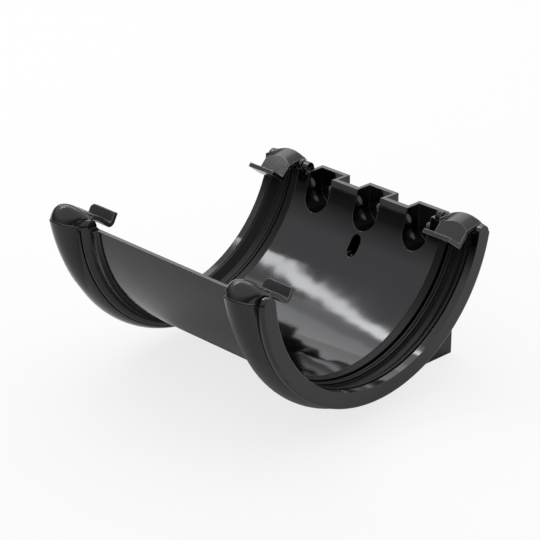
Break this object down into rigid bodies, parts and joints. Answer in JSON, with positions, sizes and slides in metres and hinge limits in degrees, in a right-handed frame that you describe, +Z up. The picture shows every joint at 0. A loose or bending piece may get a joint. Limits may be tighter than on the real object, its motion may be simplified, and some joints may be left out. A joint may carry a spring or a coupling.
{
  "type": "half-round gutter union bracket",
  "caption": "Half-round gutter union bracket: a short trough with a rubber-sealed socket at each end, strap clips on the rims and a webbed back plate with screw pockets.",
  "frame": {"origin": "on the axis of the half-round bore, midway between the two open ends", "axes": "+X along the gutter to the right-hand socket, +Y towards the fascia board, +Z up"},
  "size_m": [0.1216, 0.1388, 0.0781],
  "materials": {
    "body": "black moulded plastic, satin to gloss",
    "seal": "matte black rubber",
    "front_clip": "black moulded plastic, glossy",
    "back_clip": "black moulded plastic, satin"
  },
  "bodies": {
    "root": {"union_body": "body", "left_seal": "seal", "right_seal": "seal", "left_front_clip": "front_clip", "right_front_clip": "front_clip", "left_back_clip": "back_clip", "right_back_clip": "back_clip"}
  },
  "joints": []
}
